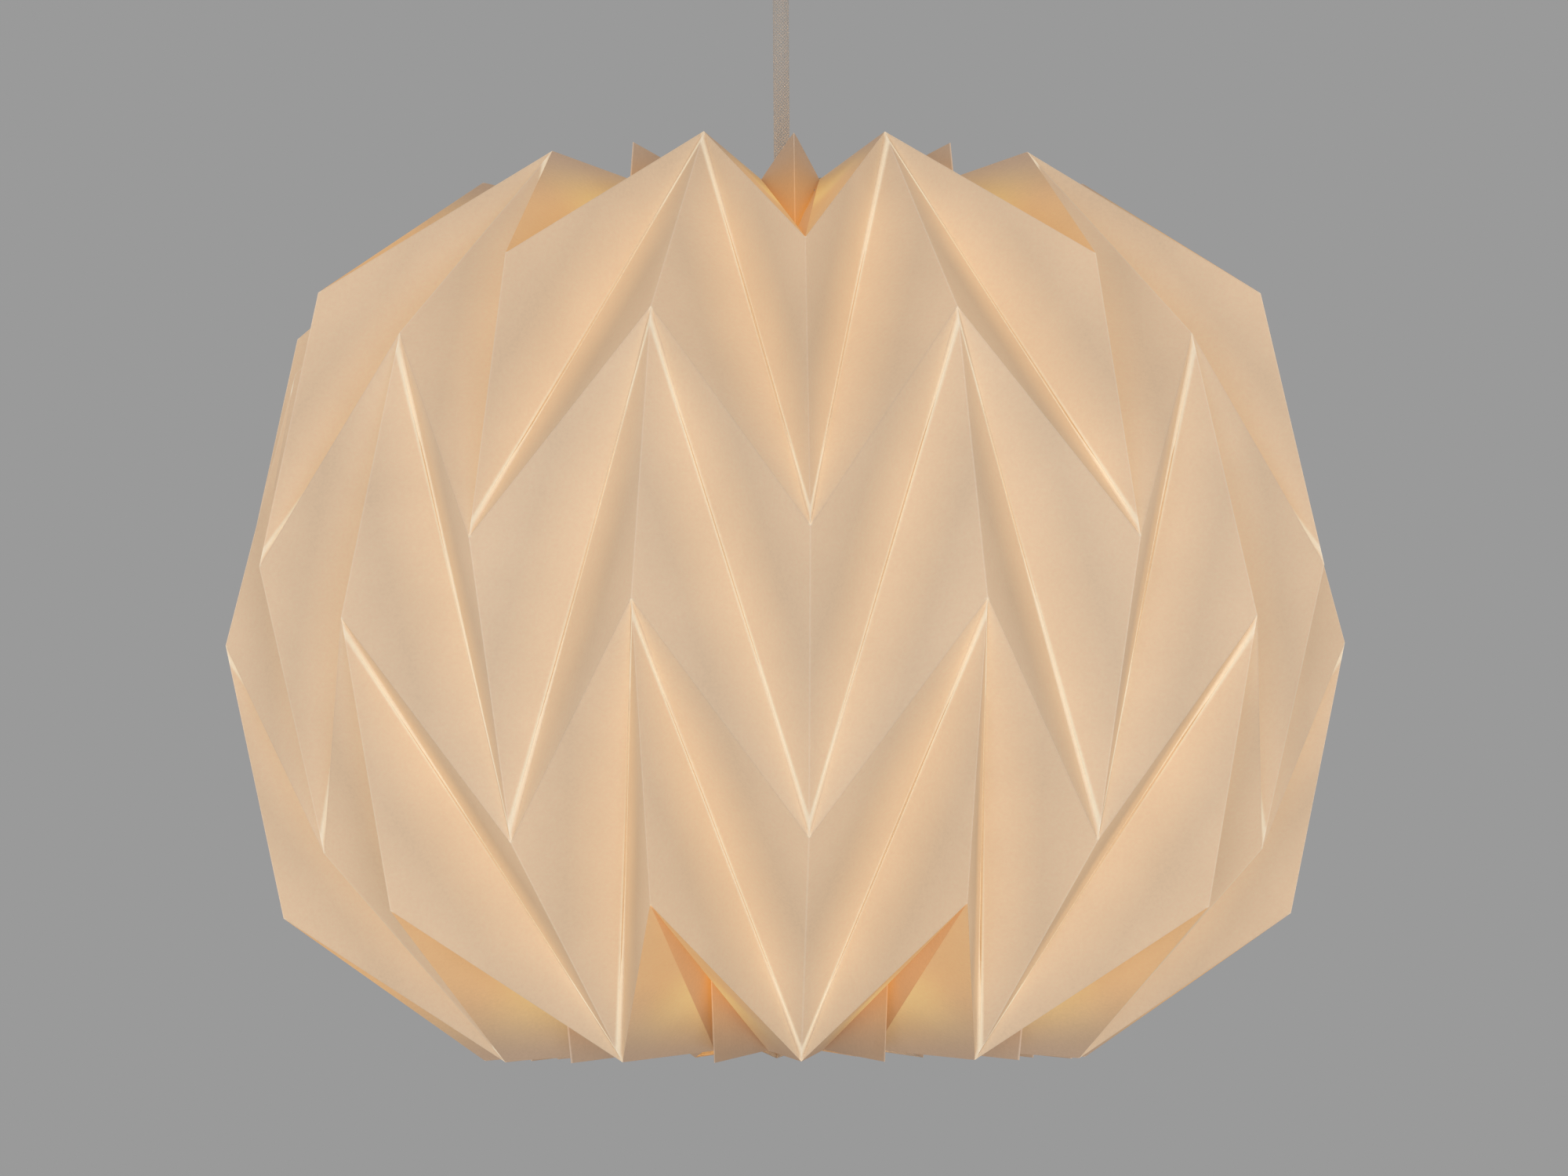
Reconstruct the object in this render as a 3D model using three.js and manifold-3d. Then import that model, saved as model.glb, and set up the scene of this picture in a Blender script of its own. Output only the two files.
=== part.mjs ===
// Folded paper pendant shade on its cord, with lamp holder, bulb and ceiling fitting.
// Millimetres, +Z up. The origin is the centre of the ceiling plate's flat top face, so
// everything hangs below zero. The viewer who sees the front looks along +Y.
import * as THREE from 'three';
import { mergeVertices } from 'three/addons/utils/BufferGeometryUtils.js';
import Module from 'manifold-3d';

const wasm = await Module();
wasm.setup();

// ---- driving dimensions -------------------------------------------------------------
const GAP = 0.3; // space left between neighbouring solids

// Shade: radius and height (from the shade's middle) of each ring of fold corners.
const COLUMNS = 11;
const FRONT_TURN = THREE.MathUtils.degToRad(2.37); // how far the front column hangs turned
const SHADE_MIDDLE_Z = -305;
const PAPER = 0.4; // modelled thickness of the card
const SEAM_COLUMN = -3; // the front sheet starts three columns left of the front
const FRONT_SHEET_COLUMNS = 6;
const TIP = { r: 109.3, z: 157.0 }; // rim tips
const NOTCH = { r: 179.2, z: 106.7 }; // rim notches
const VALLEY = { r: 176.1, z: 86.0 }; // valley corners of the body
const RIDGE = { r: 200.0, z: 11.0 }; // ridge corners of the body
const FLAP_TIP = { r: 101.2, z: 157.5 }; // outer corners of the turned-in flap's edge
const TOP_INNER = { r: 71.1, z: 147.3 }; // inner corners of the top flap, drawn down by the rim
const BOTTOM_INNER = { r: 71.1, z: 152.3 }; // inner corners of the bottom flap
const FLAP_FOLD = { r: 101.2, z: 131.5 }; // where the flap's folds meet

// Gathering thread through the inner corners of the top flap.
const THREAD = { ring: 70.0, r: 0.5, z: 146.6 };
const KNOT_R = 1.7;
const KNOT_TAIL = 4.5;

// Wire carrier that the shade hangs on.
const RIM_WIRE = { ring: 78.0, r: 1.25, z: 141.4 };
const SPOKE_R = 1.2;
const SPOKE_TURNS = [90, 210, 330];
const HUB = { inner: 20.0, outer: 27.0, bottom: 116.1, top: 117.7 };

// Lamp holder, screw-in, 27 mm thread. Heights from the shade's middle.
const CORD_R = 2.9;
const BORE_R = CORD_R + GAP + 0.1;
const GRIP_TOP = 155.0;
const CAP = { top: 147.0, bottom: 121.3, r: 20.0, wall: 1.8 };
const SKIRT = { top: 127.0, bottom: 92.0, inner: 16.5, neck: 17.9, r: 19.6, flange: 24.0 };
const INSERT = { bottom: 124.0, top: 132.0, r: 16.2 };
const TERMINAL_X = 9.0;
const SCREW_PITCH = 3.63;
const THREAD_DEPTH = 0.4;
const SHELL = { r: 14.0, wall: 0.5, bottom: 97.0, top: 122.0 };
const SHADE_RING = { inner: 20.0, outer: 25.0, bottom: 106.0, top: 115.8, ribs: 24 };

// Bulb, 60 mm globe on a 27 mm screw cap.
const BULB_CAP = { r: 13.1, wall: 0.5, bottom: 92.5, top: 113.2 };
const BULB_CONTACT = { r: 4.5, bottom: 118.3, top: 119.3 };
const GLASS = 1.0;
const GLOBE = [[11.8, 98], [11.8, 92], [14.2, 84], [19.6, 70], [26.2, 56], [29.4, 46],
  [30.0, 38], [28.9, 28], [25.2, 19], [19.2, 12.6], [11.0, 9.1]];
const GLOBE_BOTTOM = 8.0;
const FILAMENT = { ring: 9.0, low: 32.0, high: 64.0, bars: 6, r: 0.9 };

// Ceiling fitting. Heights from the ceiling.
const PLATE = { length: 88.0, width: 22.0, thick: 2.0, hole: 2.5, holeX: 36.0, window: 4.5 };
const CUP = { rim: 50.0, base: 26.0, top: -1.0, bottom: -53.0, wall: 1.0 };
const BUSH = { neck: 6.0, flange: 9.5, end: 6.2, top: -46.5, bottom: -66.0 };
const NUT = { across: 17.0, bottom: -51.4, top: -47.4 };
const GRUB = { r: 1.2, z: -60.0 };
const CLAMP = { x: 18.0, y: 14.0, bottom: -16.0 };
const BLOCK = { x: 22.0, y: 16.0, bottom: -17.0, centre: 24.0 };
const SWING_Z = BUSH.bottom - GAP - CORD_R; // the cord bends just under the bush

// ---- finishes: colour, roughness, metalness -----------------------------------------
const FINISH = {
  paper: [0xdec0a3, 0.95, 0],
  thread: [0xd9cfbd, 0.9, 0],
  cord: [0xa39a8c, 0.85, 0],
  whitePlastic: [0xeceae4, 0.45, 0],
  wire: [0xc9c9c6, 0.35, 0.9],
  brass: [0xc4a052, 0.35, 0.95],
  ceramic: [0xf1eee6, 0.3, 0],
  glass: [0xf5f2ea, 0.08, 0],
  capMetal: [0xc8cacb, 0.3, 0.9],
  blackGlass: [0x1c1b1e, 0.25, 0],
  filament: [0xffc46b, 0.6, 0],
  whiteMetal: [0xf0efeb, 0.4, 0.1],
  steel: [0xb4b7b9, 0.4, 0.9],
};

// ---- helpers ------------------------------------------------------------------------
const shadeZ = (z) => SHADE_MIDDLE_Z + z;
const shadePoint = (ring, turn, sign = 1) => new THREE.Vector3(
  ring.r * Math.sin(turn), -ring.r * Math.cos(turn), shadeZ(sign * ring.z));

/** Signed volume of a triangle mesh: negative when its faces point inwards. */
function signedVolume(geometry) {
  const source = geometry.index ? geometry.toNonIndexed() : geometry;
  const p = source.attributes.position;
  const a = new THREE.Vector3();
  const b = new THREE.Vector3();
  const c = new THREE.Vector3();
  let sum = 0;
  for (let i = 0; i < p.count; i += 3) {
    a.fromBufferAttribute(p, i);
    b.fromBufferAttribute(p, i + 1);
    c.fromBufferAttribute(p, i + 2);
    sum += a.dot(b.cross(c)) / 6;
  }
  return sum;
}

/** Joins doubled corners and turns every face outwards. */
function closed(geometry) {
  geometry.deleteAttribute('normal');
  geometry.deleteAttribute('uv');
  const merged = mergeVertices(geometry, 1e-4);
  if (signedVolume(merged) < 0) {
    const index = Array.from(merged.index.array);
    for (let i = 0; i < index.length; i += 3) {
      [index[i + 1], index[i + 2]] = [index[i + 2], index[i + 1]];
    }
    merged.setIndex(index);
  }
  return merged;
}

/** A body turned about +Z from [radius, height] points. */
function turned(points, segments = 32) {
  const onAxis = (p) => p[0] < 1e-6;
  const open = onAxis(points[0]) && onAxis(points[points.length - 1]);
  const loop = open ? points : [...points, points[0]];
  const profile = loop.map(([r, z]) => new THREE.Vector2(r, z));
  return closed(new THREE.LatheGeometry(profile, segments).rotateX(Math.PI / 2));
}

/** The same heights moved down by the shade's middle. */
const hung = (points) => points.map(([r, z]) => [r, shadeZ(z)]);

function block(size, centre) {
  return closed(new THREE.BoxGeometry(...size).translate(...centre));
}

/** A rod from one point to another. */
function rod(from, to, radius, sides = 16) {
  const axis = new THREE.Vector3().subVectors(to, from);
  const body = new THREE.CylinderGeometry(radius, radius, axis.length(), sides);
  const up = new THREE.Vector3(0, 1, 0);
  body.applyQuaternion(new THREE.Quaternion().setFromUnitVectors(up, axis.clone().normalize()));
  const middle = new THREE.Vector3().addVectors(from, to).multiplyScalar(0.5);
  return closed(body.translate(middle.x, middle.y, middle.z));
}

/** A round tube along a smooth curve. */
function tube(points, radius, sides, steps) {
  const ring = new THREE.Shape();
  for (let i = 0; i < sides; i += 1) {
    const turn = (i / sides) * Math.PI * 2;
    const corner = [radius * Math.cos(turn), radius * Math.sin(turn)];
    if (i === 0) ring.moveTo(...corner);
    else ring.lineTo(...corner);
  }
  const path = new THREE.CatmullRomCurve3(points);
  return closed(new THREE.ExtrudeGeometry(ring, { steps, extrudePath: path, curveSegments: 1 }));
}

function toManifold(geometry) {
  const mesh = new wasm.Mesh({
    numProp: 3,
    vertProperties: Float32Array.from(geometry.attributes.position.array),
    triVerts: Uint32Array.from(geometry.index.array),
  });
  return new wasm.Manifold(mesh);
}

function fromManifold(solid) {
  const mesh = solid.getMesh();
  const geometry = new THREE.BufferGeometry();
  geometry.setAttribute('position', new THREE.BufferAttribute(mesh.vertProperties, 3));
  geometry.setIndex(new THREE.BufferAttribute(mesh.triVerts, 1));
  return geometry;
}

/** The first body with the others cut away from it. */
function cut(body, ...tools) {
  const left = tools.reduce((solid, tool) => solid.subtract(toManifold(tool)), toManifold(body));
  return fromManifold(left);
}

/** Several bodies joined into one. */
function joined(body, ...others) {
  const whole = others.reduce((solid, other) => solid.add(toManifold(other)), toManifold(body));
  return fromManifold(whole);
}

// ---- the folded shade ---------------------------------------------------------------

/** Corner points on one column line. Even lines carry the top flap, odd lines the bottom. */
function columnLine(line) {
  const turn = FRONT_TURN + (line * Math.PI) / COLUMNS;
  const even = line % 2 === 0;
  return {
    rimTop: shadePoint(even ? NOTCH : TIP, turn),
    upper: shadePoint(even ? RIDGE : VALLEY, turn),
    lower: shadePoint(even ? VALLEY : RIDGE, turn, -1),
    rimBottom: shadePoint(even ? TIP : NOTCH, turn, -1),
    flapFold: shadePoint(FLAP_FOLD, turn, even ? 1 : -1),
    flapTip: shadePoint(FLAP_TIP, turn, even ? 1 : -1),
  };
}

/** Triangles between an even line and the odd line beside it, facing out. */
function stripTriangles(evenLine, oddLine, flapTop, flapBottom) {
  const e = evenLine;
  const o = oddLine;
  return [
    [o.rimTop, e.rimTop, e.upper], [o.rimTop, e.upper, o.upper],
    [o.upper, e.upper, e.lower], [o.upper, e.lower, o.lower],
    [o.lower, e.lower, e.rimBottom], [o.lower, e.rimBottom, o.rimBottom],
    [e.rimTop, o.rimTop, flapTop], [e.rimTop, flapTop, e.flapFold],
    [e.flapFold, flapTop, e.flapTip],
    [e.rimBottom, flapBottom, o.rimBottom], [o.rimBottom, flapBottom, o.flapFold],
    [o.flapFold, flapBottom, o.flapTip],
  ];
}

/** Moves a corner on a glued edge a little into its own sheet. */
function pulledIn(line, towards) {
  const side = new THREE.Vector3(Math.cos(towards.turn), Math.sin(towards.turn), 0);
  side.multiplyScalar(towards.sign * GAP * 0.6);
  return Object.fromEntries(Object.entries(line).map(([k, p]) => [k, p.clone().add(side)]));
}

/** The sheet's middle surface, as triangles, from one column line to another. */
function sheetTriangles(first, last) {
  const triangles = [];
  const lines = [];
  for (let line = first; line <= last; line += 1) {
    const turn = FRONT_TURN + (line * Math.PI) / COLUMNS;
    let corners = columnLine(line);
    if (line === first) corners = pulledIn(corners, { turn, sign: 1 });
    if (line === last) corners = pulledIn(corners, { turn, sign: -1 });
    lines.push(corners);
  }
  for (let i = 0; i + 1 < lines.length; i += 1) {
    const turn = FRONT_TURN + ((first + i + 0.5) * Math.PI) / COLUMNS;
    const flapTop = shadePoint(TOP_INNER, turn);
    const flapBottom = shadePoint(BOTTOM_INNER, turn, -1);
    const evenFirst = (first + i) % 2 === 0;
    const pair = evenFirst ? [lines[i], lines[i + 1]] : [lines[i + 1], lines[i]];
    const strip = stripTriangles(pair[0], pair[1], flapTop, flapBottom);
    triangles.push(...(evenFirst ? strip : strip.map(([a, b, c]) => [a, c, b])));
  }
  return triangles;
}

/** Gives a triangle surface a thickness, half to each side. */
function thickened(triangles, thickness) {
  const corners = new Map();
  const keyOf = (p) => `${p.x.toFixed(3)},${p.y.toFixed(3)},${p.z.toFixed(3)}`;
  const faces = triangles.map((points) => {
    const normal = new THREE.Vector3().subVectors(points[1], points[0]);
    normal.cross(new THREE.Vector3().subVectors(points[2], points[0])).normalize();
    return points.map((p) => {
      const key = keyOf(p);
      if (!corners.has(key)) corners.set(key, { id: corners.size, p, normals: [] });
      corners.get(key).normals.push(normal);
      return corners.get(key).id;
    });
  });
  const count = corners.size;
  const position = new Float32Array(count * 6);
  for (const { id, p, normals } of corners.values()) {
    const mean = normals.reduce((sum, n) => sum.add(n), new THREE.Vector3()).normalize();
    const lean = normals.reduce((sum, n) => sum + n.dot(mean), 0) / normals.length;
    const offset = (thickness / 2) * Math.min(1 / Math.max(lean, 0.1), 2);
    p.clone().addScaledVector(mean, offset).toArray(position, id * 3);
    p.clone().addScaledVector(mean, -offset).toArray(position, (id + count) * 3);
  }
  const index = [];
  const edges = new Set();
  for (const [a, b, c] of faces) {
    index.push(a, b, c, c + count, b + count, a + count);
    for (const edge of [[a, b], [b, c], [c, a]]) edges.add(edge.join('-'));
  }
  for (const edge of edges) {
    const [a, b] = edge.split('-').map(Number);
    if (!edges.has(`${b}-${a}`)) index.push(b, a, a + count, b, a + count, b + count);
  }
  const geometry = new THREE.BufferGeometry();
  geometry.setAttribute('position', new THREE.BufferAttribute(position, 3));
  geometry.setIndex(index);
  return closed(geometry);
}

function shadeSheet(firstColumn, columns) {
  const triangles = sheetTriangles(firstColumn * 2, (firstColumn + columns) * 2);
  return thickened(triangles, PAPER);
}

function gatheringThread() {
  const ring = new THREE.TorusGeometry(THREAD.ring, THREAD.r, 6, 66);
  const loop = closed(ring.translate(0, 0, shadeZ(THREAD.z)));
  const turn = FRONT_TURN + (0.5 * Math.PI) / COLUMNS;
  const at = shadePoint({ r: THREAD.ring - 0.6, z: THREAD.z }, turn);
  const knot = closed(new THREE.SphereGeometry(KNOT_R, 12, 8).translate(at.x, at.y, at.z));
  const end = at.clone().add(new THREE.Vector3(-KNOT_TAIL * 0.6, KNOT_TAIL * 0.3, KNOT_TAIL));
  return joined(loop, knot, rod(at, end, THREAD.r * 1.2, 8));
}

// ---- the wire carrier ---------------------------------------------------------------

function carrierRim() {
  const ring = new THREE.TorusGeometry(RIM_WIRE.ring, RIM_WIRE.r, 8, 44);
  return closed(ring.translate(0, 0, shadeZ(RIM_WIRE.z)));
}

function carrierSpoke(degrees) {
  const turn = THREE.MathUtils.degToRad(degrees);
  const middle = (HUB.bottom + HUB.top) / 2;
  const outer = RIM_WIRE.ring - RIM_WIRE.r - GAP;
  const route = [[HUB.outer + GAP, middle], [34, middle + 0.4], [44, 122.5], [58, 134.8],
    [68, RIM_WIRE.z - 0.6], [outer, RIM_WIRE.z]];
  const points = route.map(([r, z]) => new THREE.Vector3(
    r * Math.cos(turn), r * Math.sin(turn), shadeZ(z)));
  return tube(points, SPOKE_R, 8, 12);
}

function carrierHub() {
  const { inner, outer, bottom, top } = HUB;
  return turned(hung([[inner, bottom], [outer, bottom], [outer, top], [inner, top]]), 28);
}

// ---- the lamp holder ----------------------------------------------------------------

function holderGrip() {
  const neck = 5.0;
  return turned(hung([[BORE_R, GRIP_TOP], [5.6, GRIP_TOP], [7.2, GRIP_TOP - 2.5],
    [8.0, CAP.top + GAP], [neck, CAP.top + GAP], [neck, CAP.top - 4.0],
    [BORE_R, CAP.top - 4.0]]), 24);
}

function holderCap() {
  const { top, bottom, r, wall } = CAP;
  const hole = 5.0 + GAP;
  const inside = SKIRT.neck + GAP;
  return turned(hung([[hole, top], [12, top - 0.5], [17, top - 3.4], [19.4, top - 8],
    [r, top - 12], [r, bottom], [inside, bottom], [inside, top - 12], [17.2, top - 9],
    [15.2, top - 5.2], [11.4, top - wall - 0.7], [hole, top - wall]]), 28);
}

function holderSkirt() {
  const { top, bottom, inner, neck, r, flange } = SKIRT;
  const profile = [[inner, top], [neck, top], [neck, CAP.bottom - GAP], [flange, CAP.bottom - GAP],
    [flange, HUB.top + GAP], [r, HUB.top + GAP]];
  for (let z = HUB.top - 3; z > bottom + 4; z -= 5) {
    profile.push([r, z], [r - 0.7, z - 1.5], [r, z - 3]);
  }
  profile.push([r - 0.6, bottom], [inner, bottom]);
  return turned(hung(profile), 28);
}

function holderInsert() {
  const { bottom, top, r } = INSERT;
  const disc = turned(hung([[0, bottom], [r, bottom], [r, top - 1], [r - 1, top], [0, top]]), 36);
  const holes = [-1, 1].map((side) => rod(
    new THREE.Vector3(side * TERMINAL_X, 0, shadeZ(top - 6)),
    new THREE.Vector3(side * TERMINAL_X, 0, shadeZ(top + 1)), 1.9, 16));
  return cut(disc, ...holes);
}

function terminalScrew(side) {
  const { top } = INSERT;
  const profile = [[0, top - 5.5], [1.6, top - 5.5], [1.6, top + GAP], [3.2, top + GAP],
    [3.2, top + 1.6], [2.6, top + 2.2], [0, top + 2.2]];
  return turned(hung(profile), 16).translate(side * TERMINAL_X, 0, 0);
}

function centreContact() {
  const low = shadeZ(BULB_CONTACT.top + GAP);
  const high = shadeZ(INSERT.bottom - GAP);
  const leaf = new THREE.Shape([[-9, high - 0.5], [-9, high], [-3.6, high], [-0.4, low + 0.5],
    [3.4, low + 0.5], [3.4, low], [-0.6, low], [-3.9, high - 0.5]]
    .map(([x, z]) => new THREE.Vector2(x, z)));
  const strip = new THREE.ExtrudeGeometry(leaf, { depth: 5, bevelEnabled: false, steps: 1 });
  return closed(strip.translate(0, 0, -2.5).rotateX(Math.PI / 2));
}

/** Crests and roots of a rolled screw thread between two heights. */
function threadProfile(radius, bottom, top) {
  const steps = Math.round((top - bottom) / (SCREW_PITCH / 2));
  return Array.from({ length: steps + 1 }, (_, i) => {
    const z = bottom + ((top - bottom) * i) / steps;
    return [radius + THREAD_DEPTH * (i % 2 === 0 ? 1 : -1), z];
  });
}

function screwShell() {
  const { r, wall, bottom, top } = SHELL;
  const inner = threadProfile(r, bottom, top);
  const outer = inner.map(([radius, z]) => [radius + wall, z]);
  const lip = [[INSERT.r, top + 0.4], [INSERT.r, INSERT.bottom - GAP], [11.5, INSERT.bottom - GAP],
    [11.5, top + 1.0]];
  return turned(hung([...outer, ...lip, ...inner.reverse()]), 24);
}

function shadeRing() {
  const { inner, outer, bottom, top, ribs } = SHADE_RING;
  const shape = new THREE.Shape();
  for (let i = 0; i < ribs * 2; i += 1) {
    const turn = (i / (ribs * 2)) * Math.PI * 2;
    const r = i % 2 === 0 ? outer : outer - 0.8;
    const corner = [r * Math.cos(turn), r * Math.sin(turn)];
    if (i === 0) shape.moveTo(...corner);
    else shape.lineTo(...corner);
  }
  shape.holes.push(new THREE.Path().absarc(0, 0, inner, 0, Math.PI * 2, true));
  const ring = new THREE.ExtrudeGeometry(shape, {
    depth: top - bottom, bevelEnabled: false, steps: 1, curveSegments: 20,
  });
  return closed(ring.translate(0, 0, shadeZ(bottom)));
}

// ---- the bulb -----------------------------------------------------------------------

function bulbGlass() {
  const outer = [...GLOBE, [0, GLOBE_BOTTOM]];
  const inner = GLOBE.map(([r, z], i) => {
    const lift = i < 2 ? 0 : GLASS * Math.max(0, (40 - z) / 40);
    return [r - GLASS, z + lift];
  });
  inner.push([0, GLOBE_BOTTOM + GLASS]);
  const profile = [...outer.reverse(), ...inner];
  return turned(hung(profile), 28);
}

function bulbCap() {
  const { r, wall, bottom, top } = BULB_CAP;
  const outer = threadProfile(r, bottom, top);
  const inner = outer.map(([radius, z]) => [radius - wall, z]).reverse();
  return turned(hung([...outer, ...inner]), 24);
}

function bulbInsulator() {
  const top = BULB_CONTACT.bottom - GAP;
  return turned(hung([[0, BULB_CAP.top + GAP], [12.6, BULB_CAP.top + GAP],
    [5.2, top], [0, top]]), 32);
}

function bulbContact() {
  const { r, bottom, top } = BULB_CONTACT;
  return turned(hung([[0, bottom], [r, bottom], [r - 0.8, top], [0, top]]), 20);
}

function bulbStem() {
  return turned(hung([[0, 97], [7.0, 97], [6.0, 92], [3.0, 84], [2.2, 72], [2.2, 70], [0, 69]]), 20);
}

function bulbFilament() {
  const { ring, low, high, bars, r } = FILAMENT;
  const points = Array.from({ length: bars }, (_, i) => {
    const turn = (i / bars) * Math.PI * 2;
    return new THREE.Vector3(
      ring * Math.cos(turn), ring * Math.sin(turn), shadeZ(i % 2 === 0 ? high : low));
  });
  return tube(points, r, 6, 30);
}

// ---- cord and ceiling fitting -------------------------------------------------------

/** The cord below the bush. Its upper end is domed about the point where it bends. */
function pendantCord() {
  const low = shadeZ(GRIP_TOP) + GAP;
  const dome = [90, 67.5, 45, 22.5, 0].map(THREE.MathUtils.degToRad)
    .map((lift) => [CORD_R * Math.cos(lift), SWING_Z + CORD_R * Math.sin(lift)]);
  dome[0][0] = 0;
  return turned([[0, low], [CORD_R, low], ...dome.reverse()], 16);
}

function cordTail() {
  return turned([[0, BUSH.bottom], [CORD_R, BUSH.bottom], [CORD_R, -8], [0, -8]], 16);
}

function ceilingPlate() {
  const { length, width, thick, hole, holeX, window } = PLATE;
  const strap = block([length, width, thick], [0, 0, -thick / 2]);
  const drill = (x, r) => rod(
    new THREE.Vector3(x, 0, -thick - 1), new THREE.Vector3(x, 0, 1), r, 20);
  return cut(strap, drill(-holeX, hole), drill(holeX, hole), drill(-holeX / 2 - 4, window));
}

function ceilingCup() {
  const { rim, base, top, bottom, wall } = CUP;
  const hole = BUSH.neck + GAP;
  return turned([[hole, bottom], [base - 4, bottom], [base, bottom + 2.4], [rim, top],
    [rim - wall, top], [base - wall, bottom + 3.2], [base - 4.6, bottom + wall],
    [hole, bottom + wall]], 48);
}

function cupBush() {
  const { neck, flange, end, top, bottom } = BUSH;
  const seat = CUP.bottom - GAP;
  const body = turned([[BORE_R, top], [neck, top], [neck, seat], [flange, seat],
    [flange, seat - 3], [end + 1.6, seat - 5], [end, bottom], [BORE_R, bottom]], 32);
  const side = new THREE.Vector3(0, 0, GRUB.z);
  const out = new THREE.Vector3(-12, 0, GRUB.z);
  return cut(body, rod(side, out, GRUB.r + GAP, 12));
}

function bushNut() {
  const { across, bottom, top } = NUT;
  const r = across / Math.sqrt(3);
  const hex = closed(new THREE.CylinderGeometry(r, r, top - bottom, 6)
    .rotateX(Math.PI / 2).translate(0, 0, (top + bottom) / 2));
  const hole = rod(new THREE.Vector3(0, 0, bottom - 1), new THREE.Vector3(0, 0, top + 1),
    BUSH.neck + GAP, 32);
  return cut(hex, hole);
}

function grubScrew() {
  return rod(new THREE.Vector3(-CORD_R - GAP, 0, GRUB.z),
    new THREE.Vector3(-6.4, 0, GRUB.z), GRUB.r, 12);
}

function cordClamp() {
  const top = -PLATE.thick - GAP;
  const body = block([CLAMP.x, CLAMP.y, top - CLAMP.bottom], [0, 0, (top + CLAMP.bottom) / 2]);
  const bore = rod(new THREE.Vector3(0, 0, CLAMP.bottom - 1), new THREE.Vector3(0, 0, -6),
    BORE_R, 20);
  const screwHole = rod(new THREE.Vector3(0, 0, -12), new THREE.Vector3(0, -10, -12), 2.0, 16);
  return cut(body, bore, screwHole);
}

function clampScrew() {
  const profile = [[0, 0], [1.7, 0], [1.7, 4.4], [3.0, 4.4], [3.0, 6.4], [0, 6.4]];
  return turned(profile, 16).rotateX(Math.PI / 2).translate(0, -CORD_R - GAP, -12);
}

function terminalBlock() {
  const top = -PLATE.thick - GAP;
  const body = block([BLOCK.x, BLOCK.y, top - BLOCK.bottom],
    [BLOCK.centre, 0, (top + BLOCK.bottom) / 2]);
  const tools = [-1, 0, 1].flatMap((row) => {
    const x = BLOCK.centre + row * 7;
    return [
      rod(new THREE.Vector3(x, -10, -8), new THREE.Vector3(x, 10, -8), 1.6, 12),
      rod(new THREE.Vector3(x, 0, BLOCK.bottom - 1), new THREE.Vector3(x, 0, -8), 2.2, 12),
    ];
  });
  return cut(body, ...tools);
}

// ---- assembly -----------------------------------------------------------------------

const lantern = new THREE.Group();
lantern.name = 'folded_paper_pendant';

function add(name, finish, geometry) {
  const [color, roughness, metalness] = FINISH[finish];
  const material = new THREE.MeshStandardMaterial({ color, roughness, metalness });
  const mesh = new THREE.Mesh(geometry, material);
  mesh.name = name;
  lantern.add(mesh);
}

add('shade_sheet_front', 'paper', shadeSheet(SEAM_COLUMN, FRONT_SHEET_COLUMNS));
add('shade_sheet_back', 'paper',
  shadeSheet(SEAM_COLUMN + FRONT_SHEET_COLUMNS, COLUMNS - FRONT_SHEET_COLUMNS));
add('gathering_thread', 'thread', gatheringThread());
add('carrier_rim', 'wire', carrierRim());
SPOKE_TURNS.forEach((turn, i) => add(`carrier_spoke_${i + 1}`, 'wire', carrierSpoke(turn)));
add('carrier_hub', 'wire', carrierHub());
add('holder_cord_grip', 'whitePlastic', holderGrip());
add('holder_cap', 'whitePlastic', holderCap());
add('holder_skirt', 'whitePlastic', holderSkirt());
add('holder_insert', 'ceramic', holderInsert());
add('terminal_screw_left', 'brass', terminalScrew(-1));
add('terminal_screw_right', 'brass', terminalScrew(1));
add('centre_contact', 'brass', centreContact());
add('screw_shell', 'brass', screwShell());
add('shade_ring', 'whitePlastic', shadeRing());
add('bulb_glass', 'glass', bulbGlass());
add('bulb_cap', 'capMetal', bulbCap());
add('bulb_insulator', 'blackGlass', bulbInsulator());
add('bulb_contact', 'brass', bulbContact());
add('bulb_stem', 'glass', bulbStem());
add('bulb_filament', 'filament', bulbFilament());
add('pendant_cord', 'cord', pendantCord());
add('cord_tail', 'cord', cordTail());
add('ceiling_plate', 'steel', ceilingPlate());
add('ceiling_cup', 'whiteMetal', ceilingCup());
add('cup_bush', 'whitePlastic', cupBush());
add('bush_nut', 'steel', bushNut());
add('grub_screw', 'steel', grubScrew());
add('cord_clamp', 'whitePlastic', cordClamp());
add('clamp_screw', 'steel', clampScrew());
add('terminal_block', 'whitePlastic', terminalBlock());

export default lantern;
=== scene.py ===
"""Folded paper pendant shade, its lamp holder, bulb, cord and ceiling fitting."""
import logging
import math
from dataclasses import dataclass, field
from enum import Enum
from typing import Iterable, Sequence

import bmesh
import bpy
from mathutils import Matrix, Vector, noise


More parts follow.
